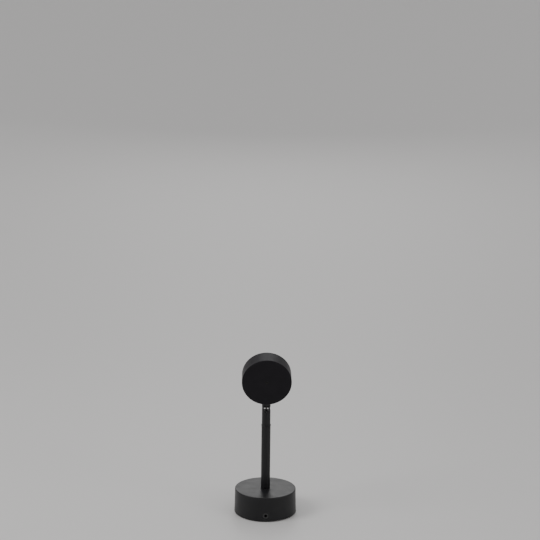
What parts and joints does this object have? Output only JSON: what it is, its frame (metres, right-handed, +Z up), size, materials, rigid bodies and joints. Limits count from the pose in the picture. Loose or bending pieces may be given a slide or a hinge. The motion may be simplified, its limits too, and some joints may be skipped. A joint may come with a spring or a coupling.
{
  "type": "sunset projection lamp",
  "caption": "Small table projection lamp: round weighted base, slim pole with a slotted knuckle, and a short round black head with a domed glass lens that tilts up and down.",
  "frame": {"origin": "middle of the base where it stands on the table", "axes": "+Z up; +Y is the way the lens looks, with the head tilted 14 degrees up from it; X is the axis of the tilting knuckle"},
  "size_m": [0.0812, 0.0812, 0.2159],
  "materials": {
    "foam_rubber": "closed-cell foam rubber, matte",
    "zinc_steel": "zinc plated steel",
    "dark_steel": "blackened steel",
    "cast_iron": "raw grey casting",
    "black_base_paint": "fine satin black powder coat",
    "black_pole_paint": "satin black powder coat",
    "black_plastic": "matte moulded black",
    "board_green": "solder resist over glass laminate",
    "chip_black": "moulded epoxy",
    "resistor_body": "lacquered ceramic",
    "polished_steel": "polished stainless steel",
    "wire_black": "silicone insulation",
    "fibre_washer": "pressed fibre",
    "soft_rubber": "smooth black rubber",
    "black_head_anodised": "black anodised, fine bead-blasted",
    "black_inner_aluminium": "black anodised",
    "bare_aluminium": "bare turned aluminium",
    "pad_grey": "filled silicone sheet",
    "board_white": "white solder resist on an aluminium core",
    "emitter_yellow": "phosphor under a clear silicone dome",
    "lens_glass": "clear polished glass",
    "colour_film": "dichroic coating on glass"
  },
  "bodies": {
    "stand": {"foot_pad": "foam_rubber", "bottom_plate": "zinc_steel", "base_screws": "dark_steel", "base_weight": "cast_iron", "base_shell": "black_base_paint", "cable_bush": "black_plastic", "driver_board": "board_green", "driver_chip": "chip_black", "current_resistors": "resistor_body", "driver_screws": "zinc_steel", "threaded_nipple": "zinc_steel", "lock_washer": "zinc_steel", "pole_nut": "zinc_steel", "pole_tube": "black_pole_paint", "collar_ring": "black_pole_paint", "fork_knuckle": "black_pole_paint", "pivot_screw": "polished_steel", "spacer_washers": "polished_steel", "pole_wires": "wire_black", "hinge_wires": "wire_black"},
    "head": {"friction_washers": "fibre_washer", "tilt_stem": "black_pole_paint", "stem_washer": "zinc_steel", "stem_nut": "zinc_steel", "wire_grommet": "soft_rubber", "head_wires": "wire_black", "head_housing": "black_head_anodised", "front_bezel": "black_head_anodised", "lens": "lens_glass", "lens_gasket": "soft_rubber", "colour_filter": "colour_film", "retaining_ring": "black_inner_aluminium", "rear_screw": "dark_steel", "heat_sink": "bare_aluminium", "thermal_pad": "pad_grey", "led_board": "board_white", "board_screws": "zinc_steel", "led_emitter": "emitter_yellow", "light_baffle": "black_plastic"}
  },
  "joints": [
    {"name": "head_tilt", "type": "hinge", "parent": "stand", "child": "head", "pos_m": [0, 0, 0.14], "axis": [1, 0, 0], "range_deg": [-104, 76], "deforming": ["hinge_wires"]}
  ]
}
